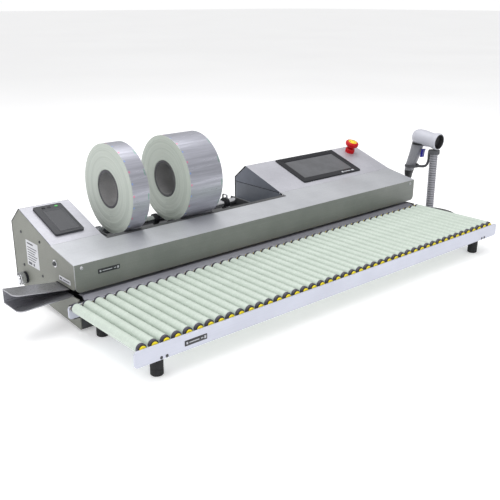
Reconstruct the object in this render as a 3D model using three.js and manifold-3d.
// Continuous band sealer for long pouches: a bench housing with a horizontal sealing slot, two film
// reels lying on a pair of bars, a touch screen, a label printer, an emergency stop, a roller conveyor
// along the front and a hand scanner on a flexible stand.
// Millimetres, +Z up. X runs along the conveyor, Y goes from the operator to the back of the machine.
// Working frame: X = 0 at the first roller's axis, Y = 0 at the rollers' front ends, Z = 0 on the bench.
// The finished group is moved so that its origin is the middle of its footprint.

import * as THREE from "three";
import { mergeVertices } from "three/addons/utils/BufferGeometryUtils.js";
import Module from "manifold-3d";

const wasm = await Module();
wasm.setup();

// ---------------------------------------------------------------- driving dimensions

const GAP = 0.3; // air between neighbouring pieces
const SHEET = 2; // sheet metal thickness
const CUT = 300; // size of a cutting block that only has to be big enough

// roller conveyor
const ROLLER_COUNT = 45;
const FREE_ROLLERS = 5; // the first rollers, each a piece of its own; the others form one bank
const ROLLER_PITCH = 25;
const ROLLER_R = 10;
const HUB_R = 5;
const HUB_LENGTH = 3.5;
const ROLLER_LENGTH = 240;
const ROLLER_Z = 68;
const LAST_ROLLER_X = (ROLLER_COUNT - 1) * ROLLER_PITCH;
const FRONT_RAIL = { x: [-22, 1125], y: [-8, -4], z: [38.5, 71], round: 8 };
const REAR_RAIL = { x: [-12, 1112], y: [244, 248], z: [43, 70], round: 6 };
const STRUT_Z = [39.5, 48];
const STRUT_HALF_WIDTH = 18;
const STRUT_X = [43, 1059];
const FOOT_R = 12.5;
const FOOT_Y = [16, 222];
const FOOT_X = [[38, 47], [1055, 1055]];

// housing, as a profile in Y and Z that runs from end to end
const LEFT = 20;
const RIGHT = 1124;
const WELL = [140, 675]; // the open reel well between the printer and the screen sections
const PANEL_FOOT = [269, 81.6];
const PANEL_HEAD = [269, 141.5];
const WELL_BEND = [342, 155.6];
const WELL_LIP = [357, 155.6];
const FOLD = [365, 160];
const PEAK = [508, 209];
const SHOULDER = [553, 171];
const REAR_FOOT = [553, 29];
const WELL_FLOOR = 108;
const TRAY_FRONT = [262, 5];
const TRAY_REAR = [550.2, 27.2];
const INNER_REAR = 549; // how far back the flanges and the inner wall reach
const PANEL_ROUND = 12;
const NOTCH = { y: 355, z: [70.5, 85.5], round: 12 }; // pouch passage in both side plates
const FLANGE_Z = 159.4; // lower edge of the screen hood's side flange
const WALL_TOP = 157.6;
const STRIP = { inset: 30, front: [272, 292], rear: [510, 530] }; // rubber strips under the base tray

// pouch guide: a channel that opens towards the incoming pouch
const GUIDE = {
  x: [-97, 19.6],
  web: 350,
  low: [69, 73],
  high: [100, 84],
  lowFront: 280,
  highFront: 297,
  round: 14,
};

// sealing drive inside the housing
const PULLEY_X = [170, 980];
const PULLEY_R = 17;
const PULLEY_Y = [286, 300];
const UPPER_PULLEY_Z = 98.5;
const LOWER_PULLEY_Z = 60;
const BAND_THICKNESS = 1.2;
const PULLEY_SHAFT = { r: 5, idler: 326, motor: 330 };
const HEATER = { x: [380, 560], upper: [81.8, 93], lower: [65, 76.6] };
const GEARHEAD = { half: [30, 26], y: [332, 362] };
const MOTOR = { r: 26, y: [361, 450] };

// film reels and the bars that carry them
const REEL = { r: 101.8, y: 414, z: 241.5, bore: 43.8 };
const CORE_R = [38, 43.4];
const NARROW_REEL_X = [190, 234.5];
const WIDE_REEL_X = [343, 438];
const BAR_R = 9.8;
const SPIGOT_R = 5;
const COLLARS = [
  { name: "front_collar_left", x: [327, 340], y: 377, r: 15 },
  { name: "front_collar_right", x: [498, 512], y: 377, r: 15 },
  { name: "rear_collar_left", x: [330, 341], y: 451, r: 13.5 },
  { name: "rear_collar_right", x: [549, 562], y: 451, r: 15 },
];
const BAR_Y = [377, 451];
const BAR_Z = 135.9;
const CHEEKS = [
  { x: [158, 162], top: 154 },
  { x: [588, 592], top: 147 },
];
const CHEEK_FOOT_Y = [366.5, 478];
const CHEEK_TOP_Y = [368, 466];
const CHEEK_DROP = 3;

// controls on the sloping roof, measured along the slope from the fold
const BEZEL = { x: [781, 1016], s: [18, 146], high: 3.4, rim: 20 };
const PRINTER = { x: [45, 112], s: [25, 136], high: 5.5 };
const LID = { x: [58, 106], s: [32, 117] };
const FEED_BUTTON = { x: [62, 70], s: [123, 129] };
const STOP = { x: 1073, s: 120 };

// stop button and knob, as pairs of radius and distance from the surface they stand on
const STOP_COLLAR = [[7, GAP], [14, GAP], [14, 11], [12, 13], [7, 13], [7, GAP]];
const STOP_CAP = [[0, 5], [6.4, 5], [6.4, 18], [14, 19], [19.5, 25], [20, 30], [17, 34], [0, 35.5]];
const KNOB_STEM = [[0, -22], [4, -22], [5.5, -19], [5.5, -9], [14.5, -8], [14.5, -2]];
const KNOB = { y: 503, z: 50, profile: [...KNOB_STEM, [6, -1.6], [6, -GAP], [0, -GAP]] };

// scanner stand
const STAND = { x: 1252, y: 296, r: 86, high: 7 };
const NECK_R = 12;
const NECK_JOINT = 105; // height at which the stiff flexible neck is taken to bend
const NECK_TOP = 196;
const NECK_TAPER = 4.5;
const NECK_TIP_R = 1.2;
const HOLDER = { y: 377, z: 149, inner: 22, outer: 25.5, half: 4, narrow: 0.85, mouth: 386 };
const ARM = { points: [[313.2, 203], [313.6, 190], [313.6, 173], [322, 156], [355, 149]], r: 4 };
const SOCKET_R = 17;
const HEAD_FRONT = [[0, 0], [24, 0], [25.5, 6], [24, 18], [25.5, 45]];
const HEAD_PROFILE = [...HEAD_FRONT, [26, 60], [24.5, 74], [19, 87], [0, 92]];
const HANDLE_FRONT = [[338, 226], [344.5, 197], [352, 177], [366, 143], [374.5, 120], [377, 106]];
const HANDLE_BACK = [[388, 106], [394, 120], [396, 140], [386, 175], [370, 236]];
const HANDLE = [...HANDLE_FRONT, ...HANDLE_BACK];
const TRIGGER = [[330, 207], [334.5, 181], [343, 180], [338.2, 206]];
const HEAD = { y: 280, z: 235, tilt: 0.08 }; // the scanner's nose, and the rise towards its tail
const SOCKET_TOP = 208;
const HANDLE_HALF = 12.5;
const TRIGGER_HALF = 6;

const SLOPE = Math.atan2(PEAK[1] - FOLD[1], PEAK[0] - FOLD[0]);
const CENTRE_X = (GUIDE.x[0] + STAND.x + STAND.r) / 2;
const CENTRE_Y = (FRONT_RAIL.y[0] + SHOULDER[0]) / 2;

// ---------------------------------------------------------------- materials

function finish(color, roughness, metalness) {
  return new THREE.MeshStandardMaterial({ color, roughness, metalness });
}

const materials = {
  brushedSteel: finish(0xc4c6cb, 0.35, 0.9),
  greyPaint: finish(0x94968e, 0.5, 0.2),
  darkPaint: finish(0x3e4044, 0.55, 0.2),
  railAluminium: finish(0xc8cbd7, 0.35, 0.7),
  rollerTube: finish(0xdee8de, 0.45, 0),
  rubber: finish(0x191a1c, 0.85, 0),
  film: finish(0xb9c0b8, 0.4, 0),
  core: finish(0x55565a, 0.8, 0),
  chrome: finish(0xd8dadd, 0.12, 1),
  blackPlastic: finish(0x28292d, 0.45, 0),
  printerPlastic: finish(0x48494d, 0.5, 0),
  screenGlass: finish(0x68696c, 0.15, 0),
  stopRed: finish(0xc81422, 0.4, 0),
  stopYellow: finish(0xe8c21a, 0.5, 0),
  scannerGrey: finish(0xc6c8cc, 0.4, 0),
  triggerBlue: finish(0x1c1c9c, 0.4, 0),
  sealBand: finish(0x8a6a48, 0.5, 0),
  driveMetal: finish(0x8e9094, 0.4, 0.8),
};

// ---------------------------------------------------------------- shape helpers

const UNIT_X = new THREE.Vector3(1, 0, 0);
const UNIT_Y = new THREE.Vector3(0, 1, 0);
const UNIT_Z = new THREE.Vector3(0, 0, 1);

function extruded(outline, depth) {
  const shape = outline instanceof THREE.Shape
    ? outline
    : new THREE.Shape(outline.map(([a, b]) => new THREE.Vector2(a, b)));
  return new THREE.ExtrudeGeometry(shape, { depth, bevelEnabled: false, curveSegments: 6 });
}

// An outline in Y and Z, swept along X.
function alongX(outline, [from, to]) {
  const turn = new THREE.Matrix4().makeBasis(UNIT_Y, UNIT_Z, UNIT_X);
  return extruded(outline, to - from).applyMatrix4(turn).translate(from, 0, 0);
}

// An outline in X and Z, swept along Y.
function alongY(outline, [from, to]) {
  const turn = new THREE.Matrix4().makeBasis(UNIT_X, UNIT_Z, UNIT_Y.clone().negate());
  return extruded(outline, to - from).applyMatrix4(turn).translate(0, to, 0);
}

// An outline in X and Y, swept along Z.
function alongZ(outline, [from, to]) {
  return extruded(outline, to - from).translate(0, 0, from);
}

function block([x0, x1], [y0, y1], [z0, z1]) {
  const geometry = new THREE.BoxGeometry(x1 - x0, y1 - y0, z1 - z0);
  return geometry.translate((x0 + x1) / 2, (y0 + y1) / 2, (z0 + z1) / 2);
}

// A cylinder on the Z axis from one height to another.
function postZ(radius, [from, to], sides) {
  const geometry = new THREE.CylinderGeometry(radius, radius, to - from, sides);
  return geometry.rotateX(Math.PI / 2).translate(0, 0, (from + to) / 2);
}

function postX(radius, range, sides) {
  return postZ(radius, range, sides).rotateY(Math.PI / 2);
}

// A solid of revolution: pairs of radius and height along the Z axis, from one end to the other.
function turnedZ(profile, sides) {
  const points = profile.map(([r, h]) => new THREE.Vector2(r, h));
  const geometry = new THREE.LatheGeometry(points, sides);
  return geometry.rotateX(Math.PI / 2);
}

function turnedX(profile, sides) {
  return turnedZ(profile, sides).rotateY(Math.PI / 2);
}

function turnedY(profile, sides) {
  return turnedZ(profile, sides).rotateX(-Math.PI / 2);
}

// Moves a line sideways by a distance, positive to the left of its direction, keeping its corners.
function besideLine(line, distance) {
  const points = line.map(([a, b]) => new THREE.Vector2(a, b));
  return points.map((point, i) => {
    const before = i > 0 ? point.clone().sub(points[i - 1]).normalize() : null;
    const after = i < points.length - 1 ? points[i + 1].clone().sub(point).normalize() : null;
    const into = before ?? after;
    const out = after ?? before;
    const mitre = new THREE.Vector2(-into.y - out.y, into.x + out.x).normalize();
    const reach = distance / (mitre.y * out.x - mitre.x * out.y);
    return [point.x + mitre.x * reach, point.y + mitre.y * reach];
  });
}

// The section of a sheet folded along a line.
function folded(line, thickness) {
  return [...line, ...besideLine(line, thickness).reverse()];
}

// A rectangle with its corners rounded, as a shape.
function roundedPlate([a0, a1], [b0, b1], r, squareTop = false) {
  const shape = new THREE.Shape();
  shape.moveTo(a0 + r, b0);
  shape.lineTo(a1 - r, b0);
  shape.absarc(a1 - r, b0 + r, r, -Math.PI / 2, 0, false);
  if (squareTop) {
    shape.lineTo(a1, b1);
    shape.lineTo(a0, b1);
  } else {
    shape.lineTo(a1, b1 - r);
    shape.absarc(a1 - r, b1 - r, r, 0, Math.PI / 2, false);
    shape.lineTo(a0 + r, b1);
    shape.absarc(a0 + r, b1 - r, r, Math.PI / 2, Math.PI, false);
  }
  shape.lineTo(a0, b0 + r);
  shape.absarc(a0 + r, b0 + r, r, Math.PI, Math.PI * 1.5, false);
  return shape;
}

// ---------------------------------------------------------------- joining and cutting

function solid(geometry) {
  const bare = geometry.clone();
  bare.deleteAttribute("normal");
  bare.deleteAttribute("uv");
  const merged = mergeVertices(bare, 1e-4);
  const vertProperties = Float32Array.from(merged.attributes.position.array);
  const triVerts = Uint32Array.from(merged.index.array);
  return new wasm.Manifold(new wasm.Mesh({ numProp: 3, vertProperties, triVerts }));
}

function shell(made) {
  const { vertProperties, triVerts } = made.getMesh();
  const geometry = new THREE.BufferGeometry();
  geometry.setAttribute("position", new THREE.BufferAttribute(vertProperties, 3));
  geometry.setIndex(new THREE.BufferAttribute(triVerts, 1));
  return geometry;
}

function joined(...geometries) {
  return shell(geometries.map(solid).reduce((whole, next) => whole.add(next)));
}

function without(geometry, ...cutters) {
  return shell(cutters.map(solid).reduce((whole, next) => whole.subtract(next), solid(geometry)));
}

function common(geometry, limit) {
  return shell(solid(geometry).intersect(solid(limit)));
}

function place(parent, name, geometry, material, position = [0, 0, 0]) {
  const mesh = new THREE.Mesh(geometry, material);
  mesh.name = name;
  mesh.position.set(...position);
  parent.add(mesh);
  return mesh;
}

// ---------------------------------------------------------------- roller conveyor

function rollerGeometry(sides) {
  const end = ROLLER_LENGTH + HUB_LENGTH;
  return turnedY([
    [0, 0.5 - HUB_LENGTH],
    [HUB_R, 0.5 - HUB_LENGTH],
    [HUB_R, 0.5],
    [ROLLER_R, 0.5],
    [ROLLER_R, ROLLER_LENGTH - 0.5],
    [HUB_R, ROLLER_LENGTH - 0.5],
    [HUB_R, end - 0.5],
    [0, end - 0.5],
  ], sides);
}

// The rollers that share one piece are tied by a thin bar through their middles.
function rollerBank() {
  const firstX = FREE_ROLLERS * ROLLER_PITCH;
  const pieces = [];
  for (let i = FREE_ROLLERS; i < ROLLER_COUNT; i += 1) {
    pieces.push(rollerGeometry(8).translate(i * ROLLER_PITCH, 0, 0));
  }
  const tie = block([firstX, LAST_ROLLER_X], [118, 122], [-3, 3]);
  return joined(tie, ...pieces);
}

function addConveyor(root) {
  const { railAluminium, rollerTube, rubber } = materials;
  const frontPlate = roundedPlate(FRONT_RAIL.x, FRONT_RAIL.z, FRONT_RAIL.round);
  place(root, "front_rail", alongY(frontPlate, FRONT_RAIL.y), railAluminium);
  const rearPlate = roundedPlate(REAR_RAIL.x, REAR_RAIL.z, REAR_RAIL.round);
  place(root, "rear_rail", alongY(rearPlate, REAR_RAIL.y), railAluminium);
  const strutY = [FRONT_RAIL.y[1] + GAP, REAR_RAIL.y[0] - GAP];
  ["left", "right"].forEach((side, i) => {
    const strutX = [STRUT_X[i] - STRUT_HALF_WIDTH, STRUT_X[i] + STRUT_HALF_WIDTH];
    place(root, `${side}_cross_strut`, block(strutX, strutY, STRUT_Z), railAluminium);
    ["front", "rear"].forEach((end, j) => {
      const foot = postZ(FOOT_R, [0, STRUT_Z[0] - GAP], 16);
      place(root, `conveyor_foot_${end}_${side}`, foot, rubber, [FOOT_X[i][j], FOOT_Y[j], 0]);
    });
  });
  for (let i = 0; i < FREE_ROLLERS; i += 1) {
    place(root, `roller_${i + 1}`, rollerGeometry(14), rollerTube, [i * ROLLER_PITCH, 0, ROLLER_Z]);
  }
  place(root, "roller_bank", rollerBank(), rollerTube, [0, 0, ROLLER_Z]);
}

// ---------------------------------------------------------------- housing

function sidePlateOutline() {
  const top = besideLine([[269, 110], PANEL_HEAD, FOLD, PEAK, SHOULDER, [SHOULDER[0], 60]], -(SHEET + GAP));
  const shape = new THREE.Shape();
  const front = top[0][0];
  const round = NOTCH.round;
  shape.moveTo(...TRAY_FRONT);
  shape.lineTo(TRAY_REAR[0], TRAY_REAR[1]);
  [...top].reverse().forEach((point) => shape.lineTo(...point));
  shape.lineTo(front, NOTCH.z[1] + round);
  shape.absarc(front + round, NOTCH.z[1] + round, round, Math.PI, Math.PI * 1.5, false);
  shape.lineTo(NOTCH.y, NOTCH.z[1]);
  shape.lineTo(NOTCH.y, NOTCH.z[0]);
  shape.lineTo(TRAY_FRONT[0], NOTCH.z[0]);
  return shape;
}

// The front panel and the deck are one sheet. Over the reel well the deck ends in a lip and a flange.
function upperFrontCover() {
  const ends = folded([PANEL_FOOT, PANEL_HEAD, [FOLD[0] - GAP, FOLD[1]]], -SHEET);
  const flangeFoot = [WELL_LIP[0], WELL_FLOOR + 4];
  const middle = folded([PANEL_FOOT, PANEL_HEAD, WELL_BEND, WELL_LIP, flangeFoot], -SHEET);
  const whole = joined(
    alongX(ends, [LEFT, WELL[0]]),
    alongX(middle, [WELL[0] - 1, WELL[1] + 1]),
    alongX(ends, [WELL[1], RIGHT]),
  );
  const limit = roundedPlate([LEFT, RIGHT], [PANEL_FOOT[1], CUT], PANEL_ROUND, true);
  return common(whole, alongY(limit, [0, CUT * 2]));
}

function lowerFrontCover() {
  const section = folded([[282, 75.5], [267, 75.5], [251, 69], [251, 52]], SHEET);
  const whole = alongX(section, [30, 1106]);
  const limit = roundedPlate([30, 1106], [52, 75.5], 7);
  return common(whole, alongY(limit, [240, CUT]));
}

function roof(range) {
  const slopeEnd = [506.5, FOLD[1] + (506.5 - FOLD[0]) * Math.tan(SLOPE)];
  const slopeStart = [FOLD[0] + GAP, FOLD[1] + GAP * Math.tan(SLOPE)];
  return alongX(folded([slopeStart, slopeEnd], -SHEET), range);
}

function printerHood() {
  const floor = WELL_FLOOR + SHEET;
  const flange = [[367, 159.6], [504.5, 206], [INNER_REAR, 170], [INNER_REAR, floor], [367, floor]];
  return joined(roof([LEFT, WELL[0]]), alongX(flange, [WELL[0] - SHEET, WELL[0]]));
}

function screenHood() {
  const flange = [[370, 161.2], [504.5, 206], [INNER_REAR, 170], [INNER_REAR, FLANGE_Z], [370, FLANGE_Z]];
  return joined(roof([WELL[1], RIGHT]), alongX(flange, [WELL[1], WELL[1] + SHEET]));
}

function rearCover() {
  const high = folded([[509.4, 207.8], SHOULDER, REAR_FOOT], -SHEET);
  const low = folded([[SHOULDER[0], WELL_FLOOR - 0.5], REAR_FOOT], -SHEET);
  return joined(
    alongX(high, [LEFT, WELL[0]]),
    alongX(low, [WELL[0] - 1, WELL[1] + 1]),
    alongX(high, [WELL[1], RIGHT]),
  );
}

// The floor of the reel well with the two upright cheeks that carry the bars.
function reelWellTray() {
  const floorX = [WELL[0] + GAP, WELL[1] - GAP];
  const floor = block(floorX, [WELL_LIP[0] + 1, TRAY_REAR[0]], [WELL_FLOOR - SHEET, WELL_FLOOR]);
  const foot = WELL_FLOOR - 1;
  const cheeks = CHEEKS.map(({ x, top }) => {
    const outline = [
      [CHEEK_FOOT_Y[0], foot],
      [CHEEK_FOOT_Y[1], foot],
      [CHEEK_TOP_Y[1], top],
      [CHEEK_TOP_Y[0], top - CHEEK_DROP],
    ];
    const bores = BAR_Y.map((y) => postX(SPIGOT_R + 0.5, [x[0] - 1, x[1] + 1], 12).translate(0, y, BAR_Z));
    return without(alongX(outline, x), ...bores);
  });
  return joined(floor, ...cheeks);
}

// A channel whose lips close from a wide mouth to the height of the slot.
function pouchGuide() {
  const { x, web, low, high, lowFront, highFront, round } = GUIDE;
  const lip = ([left, right]) => [[x[0], left], [x[1], right], [x[1], right + SHEET], [x[0], left + SHEET]];
  const lower = alongY(lip(low), [lowFront, web]);
  const upper = alongY(lip(high.map((z) => z - SHEET)), [highFront, web]);
  const back = alongY([[x[0], low[0]], [x[1], low[1]], [x[1], high[1]], [x[0], high[0]]], [web - SHEET, web]);
  const corner = (front) => {
    const shape = new THREE.Shape();
    shape.moveTo(x[1] + 1, front);
    shape.lineTo(x[1] + 1, web + 1);
    shape.lineTo(x[0], web + 1);
    shape.lineTo(x[0], front + round);
    shape.absarc(x[0] + round, front + round, round, Math.PI, Math.PI * 1.5, false);
    return alongZ(shape, [0, CUT]);
  };
  return joined(common(lower, corner(lowFront)), common(upper, corner(highFront)), back);
}

function addHousing(root) {
  const { brushedSteel, greyPaint, darkPaint, rubber } = materials;
  const tray = folded([[TRAY_FRONT[0], 66], TRAY_FRONT, TRAY_REAR, [TRAY_REAR[0], 60]], SHEET);
  const inside = [LEFT + SHEET + 1 + GAP, RIGHT - SHEET - 1 - GAP];
  place(root, "base_tray", alongX(tray, inside), darkPaint);
  place(root, "left_side_plate", alongX(sidePlateOutline(), [LEFT, LEFT + SHEET + 1]), greyPaint);
  place(root, "right_side_plate", alongX(sidePlateOutline(), [RIGHT - SHEET - 1, RIGHT]), greyPaint);
  place(root, "upper_front_cover", upperFrontCover(), brushedSteel);
  place(root, "lower_front_cover", lowerFrontCover(), brushedSteel);
  place(root, "printer_hood", printerHood(), brushedSteel);
  place(root, "screen_hood", screenHood(), brushedSteel);
  const wall = block([WELL[1], WELL[1] + SHEET], [366.5, INNER_REAR], [WELL_FLOOR + SHEET, WALL_TOP]);
  place(root, "screen_inner_wall", wall, darkPaint);
  place(root, "rear_cover", rearCover(), darkPaint);
  place(root, "reel_well_tray", reelWellTray(), darkPaint);
  place(root, "pouch_guide", pouchGuide(), brushedSteel);
  const stripX = [LEFT + STRIP.inset, RIGHT - STRIP.inset];
  const rise = (TRAY_REAR[1] - TRAY_FRONT[1]) / (TRAY_REAR[0] - TRAY_FRONT[0]);
  const under = (y) => TRAY_FRONT[1] + (y - TRAY_FRONT[0]) * rise - GAP;
  const strip = ([y0, y1]) => [[y0, 0], [y1, 0], [y1, under(y1)], [y0, under(y0)]];
  place(root, "front_foot_strip", alongX(strip(STRIP.front), stripX), rubber);
  place(root, "rear_foot_strip", alongX(strip(STRIP.rear), stripX), rubber);
}

// ---------------------------------------------------------------- sealing drive

// An endless band round two pulleys of the same size.
function bandLoop(innerRadius, thickness) {
  const half = (PULLEY_X[1] - PULLEY_X[0]) / 2;
  const loop = (Path, r) => {
    const path = new Path();
    path.moveTo(-half, -r);
    path.lineTo(half, -r);
    path.absarc(half, 0, r, -Math.PI / 2, Math.PI / 2, false);
    path.lineTo(-half, r);
    path.absarc(-half, 0, r, Math.PI / 2, Math.PI * 1.5, false);
    return path;
  };
  const shape = loop(THREE.Shape, innerRadius + thickness);
  shape.holes.push(loop(THREE.Path, innerRadius));
  return alongY(shape, [PULLEY_Y[0] + 1, PULLEY_Y[1] - 1]);
}

function pulley(shaftEnd) {
  const [front, back] = PULLEY_Y;
  return turnedY([
    [0, front],
    [PULLEY_R, front],
    [PULLEY_R, back],
    [PULLEY_SHAFT.r, back],
    [PULLEY_SHAFT.r, shaftEnd],
    [0, shaftEnd],
  ], 16);
}

function addSealingDrive(root) {
  const { sealBand, driveMetal } = materials;
  const middle = (PULLEY_X[0] + PULLEY_X[1]) / 2;
  const { idler, motor } = PULLEY_SHAFT;
  const rows = [["upper", UPPER_PULLEY_Z, idler], ["lower", LOWER_PULLEY_Z, motor]];
  rows.forEach(([row, z, shaftEnd]) => {
    place(root, `${row}_seal_band`, bandLoop(PULLEY_R + GAP, BAND_THICKNESS), sealBand, [middle, 0, z]);
    place(root, `${row}_idler_pulley`, pulley(idler), driveMetal, [PULLEY_X[0], 0, z]);
    place(root, `${row}_drive_pulley`, pulley(shaftEnd), driveMetal, [PULLEY_X[1], 0, z]);
  });
  place(root, "upper_heater_bar", block(HEATER.x, PULLEY_Y, HEATER.upper), driveMetal);
  place(root, "lower_heater_bar", block(HEATER.x, PULLEY_Y, HEATER.lower), driveMetal);
  const [wide, tall] = GEARHEAD.half;
  const gearHead = block([-wide, wide], GEARHEAD.y, [-tall, tall]);
  const can = turnedY([[0, MOTOR.y[0]], [MOTOR.r, MOTOR.y[0]], [MOTOR.r, MOTOR.y[1]], [0, MOTOR.y[1]]], 20);
  place(root, "drive_motor", joined(gearHead, can), driveMetal, [PULLEY_X[1], 0, LOWER_PULLEY_Z]);
}

// ---------------------------------------------------------------- film reels

function ring(inner, outer, [from, to], sides) {
  return turnedX([[inner, from], [outer, from], [outer, to], [inner, to], [inner, from]], sides);
}

function addReels(root) {
  const { film, core, chrome, blackPlastic } = materials;
  const reels = [["narrow", NARROW_REEL_X], ["wide", WIDE_REEL_X]];
  reels.forEach(([name, range]) => {
    place(root, `${name}_film_roll`, ring(REEL.bore, REEL.r, range, 48), film, [0, REEL.y, REEL.z]);
    place(root, `${name}_core`, ring(CORE_R[0], CORE_R[1], range, 36), core, [0, REEL.y, REEL.z]);
  });
  const barEnds = [CHEEKS[0].x[0] + GAP, CHEEKS[1].x[1] - GAP];
  const barBody = [CHEEKS[0].x[1] + 2 * GAP, CHEEKS[1].x[0] - 2 * GAP];
  const bar = () => turnedX([
    [0, barEnds[0]],
    [SPIGOT_R, barEnds[0]],
    [SPIGOT_R, barBody[0]],
    [BAR_R, barBody[0]],
    [BAR_R, barBody[1]],
    [SPIGOT_R, barBody[1]],
    [SPIGOT_R, barEnds[1]],
    [0, barEnds[1]],
  ], 20);
  place(root, "front_reel_bar", bar(), chrome, [0, BAR_Y[0], BAR_Z]);
  place(root, "rear_reel_bar", bar(), chrome, [0, BAR_Y[1], BAR_Z]);
  COLLARS.forEach(({ name, x, y, r }) => {
    place(root, name, ring(BAR_R + GAP, r, x, 20), blackPlastic, [0, y, BAR_Z]);
  });
}

// ---------------------------------------------------------------- controls

// The group's X is the machine's X, its Y runs up the slope and its Z stands out of the roof.
function addControls(root) {
  const { blackPlastic, screenGlass, printerPlastic, stopRed, stopYellow, chrome } = materials;
  const slope = new THREE.Group();
  slope.position.set(0, FOLD[0], FOLD[1]);
  slope.rotation.x = SLOPE;
  root.add(slope);

  const outer = roundedPlate(BEZEL.x, BEZEL.s, 5);
  const openingX = [BEZEL.x[0] + BEZEL.rim, BEZEL.x[1] - BEZEL.rim];
  const openingS = [BEZEL.s[0] + BEZEL.rim, BEZEL.s[1] - BEZEL.rim];
  const frame = without(alongZ(outer, [GAP, BEZEL.high]), block(openingX, openingS, [-1, BEZEL.high + 1]));
  place(slope, "screen_bezel", frame, blackPlastic);
  const glassX = [openingX[0] + GAP, openingX[1] - GAP];
  const glassS = [openingS[0] + GAP, openingS[1] - GAP];
  place(slope, "screen_glass", block(glassX, glassS, [GAP, BEZEL.high - 0.5]), screenGlass);

  const { high } = PRINTER;
  const body = alongZ(roundedPlate(PRINTER.x, PRINTER.s, 4), [GAP, high]);
  const pocket = block(LID.x, LID.s, [2, high + 1]);
  const buttonHole = block(FEED_BUTTON.x, FEED_BUTTON.s, [2, high + 1]);
  place(slope, "printer_body", without(body, pocket, buttonHole), printerPlastic);
  const lidX = [LID.x[0] + GAP, LID.x[1] - GAP];
  const lidS = [LID.s[0] + GAP, LID.s[1] - GAP];
  place(slope, "printer_lid", block(lidX, lidS, [2.4, high + 0.6]), printerPlastic);
  const buttonX = [FEED_BUTTON.x[0] + GAP, FEED_BUTTON.x[1] - GAP];
  const buttonS = [FEED_BUTTON.s[0] + GAP, FEED_BUTTON.s[1] - GAP];
  place(slope, "printer_feed_button", block(buttonX, buttonS, [4, high + 1.2]), blackPlastic);

  const collar = turnedZ(STOP_COLLAR, 20);
  place(slope, "stop_collar", collar, stopYellow, [STOP.x, STOP.s, 0]);
  const cap = turnedZ(STOP_CAP, 24);
  place(slope, "stop_button", cap, stopRed, [STOP.x, STOP.s, 0]);

  place(root, "pressure_knob", turnedX(KNOB.profile, 20), chrome, [LEFT, KNOB.y, KNOB.z]);
}

// ---------------------------------------------------------------- scanner and stand

// A bent round rod through points in the plane X = 0.
function rodThrough(points, radius, steps) {
  const curve = new THREE.CatmullRomCurve3(points.map(([y, z]) => new THREE.Vector3(0, y, z)));
  const section = new THREE.Shape();
  section.absarc(0, 0, radius, 0, Math.PI * 2, false);
  return new THREE.ExtrudeGeometry(section, { extrudePath: curve, steps, curveSegments: 4 });
}

// One half of the neck, tapered where it meets the other half so that the neck can bend.
function neckHalf(end, joint, sides) {
  const towards = Math.sign(joint - end);
  const taperStart = joint - towards * NECK_TAPER;
  const tip = joint - towards * GAP;
  const profile = [[0, end], [NECK_R, end], [NECK_R, taperStart], [NECK_TIP_R, tip], [0, tip]];
  return turnedZ(towards > 0 ? profile : profile.reverse(), sides);
}

// The holder's socket sits on the neck. Its arm curves down to a hoop that takes the handle.
// The hoop is open at the back.
function scannerHolder() {
  const socket = postZ(SOCKET_R, [NECK_TOP + GAP, SOCKET_TOP], 20).translate(0, STAND.y, 0);
  const arm = rodThrough(ARM.points, ARM.r, 10);
  const { y, z, inner, outer, half, narrow } = HOLDER;
  const profile = [[inner, -half], [outer, -half], [outer, half], [inner, half], [inner, -half]];
  const hoop = turnedZ(profile, 24).scale(narrow, 1, 1).translate(0, y, z);
  const mouth = block([-CUT, CUT], [HOLDER.mouth, CUT * 2], [0, CUT]);
  return joined(socket, arm, without(hoop, mouth));
}

// A barrel-shaped head with a flared nose, on a handle that leans back.
function scannerBody() {
  const head = turnedY(HEAD_PROFILE, 20);
  head.rotateX(HEAD.tilt).translate(0, HEAD.y, HEAD.z);
  const handle = alongX(HANDLE, [-HANDLE_HALF, HANDLE_HALF]);
  return joined(head, handle);
}

function addScanner(root) {
  const { scannerGrey, triggerBlue, darkPaint, driveMetal } = materials;
  const stand = new THREE.Group();
  stand.position.set(STAND.x, 0, 0);
  root.add(stand);
  const { y, r, high } = STAND;
  const boss = high + 6;
  const base = turnedZ([[0, 0], [r, 0], [r, high - 3], [r - 4, high], [16, high], [14, boss], [0, boss]], 36);
  place(stand, "stand_base", base, darkPaint, [0, y, 0]);
  place(stand, "gooseneck_lower", neckHalf(boss + GAP, NECK_JOINT, 16), driveMetal, [0, y, 0]);
  place(stand, "gooseneck_upper", neckHalf(NECK_TOP, NECK_JOINT, 16), driveMetal, [0, y, 0]);
  place(stand, "scanner_holder", scannerHolder(), scannerGrey);
  place(stand, "scanner_body", scannerBody(), scannerGrey);
  place(stand, "scanner_trigger", alongX(TRIGGER, [-TRIGGER_HALF, TRIGGER_HALF]), triggerBlue);
}

// ---------------------------------------------------------------- the whole machine

const sealer = new THREE.Group();
addConveyor(sealer);
addHousing(sealer);
addSealingDrive(sealer);
addReels(sealer);
addControls(sealer);
addScanner(sealer);
sealer.position.set(-CENTRE_X, -CENTRE_Y, 0);

const part = new THREE.Group();
part.add(sealer);

export default part;
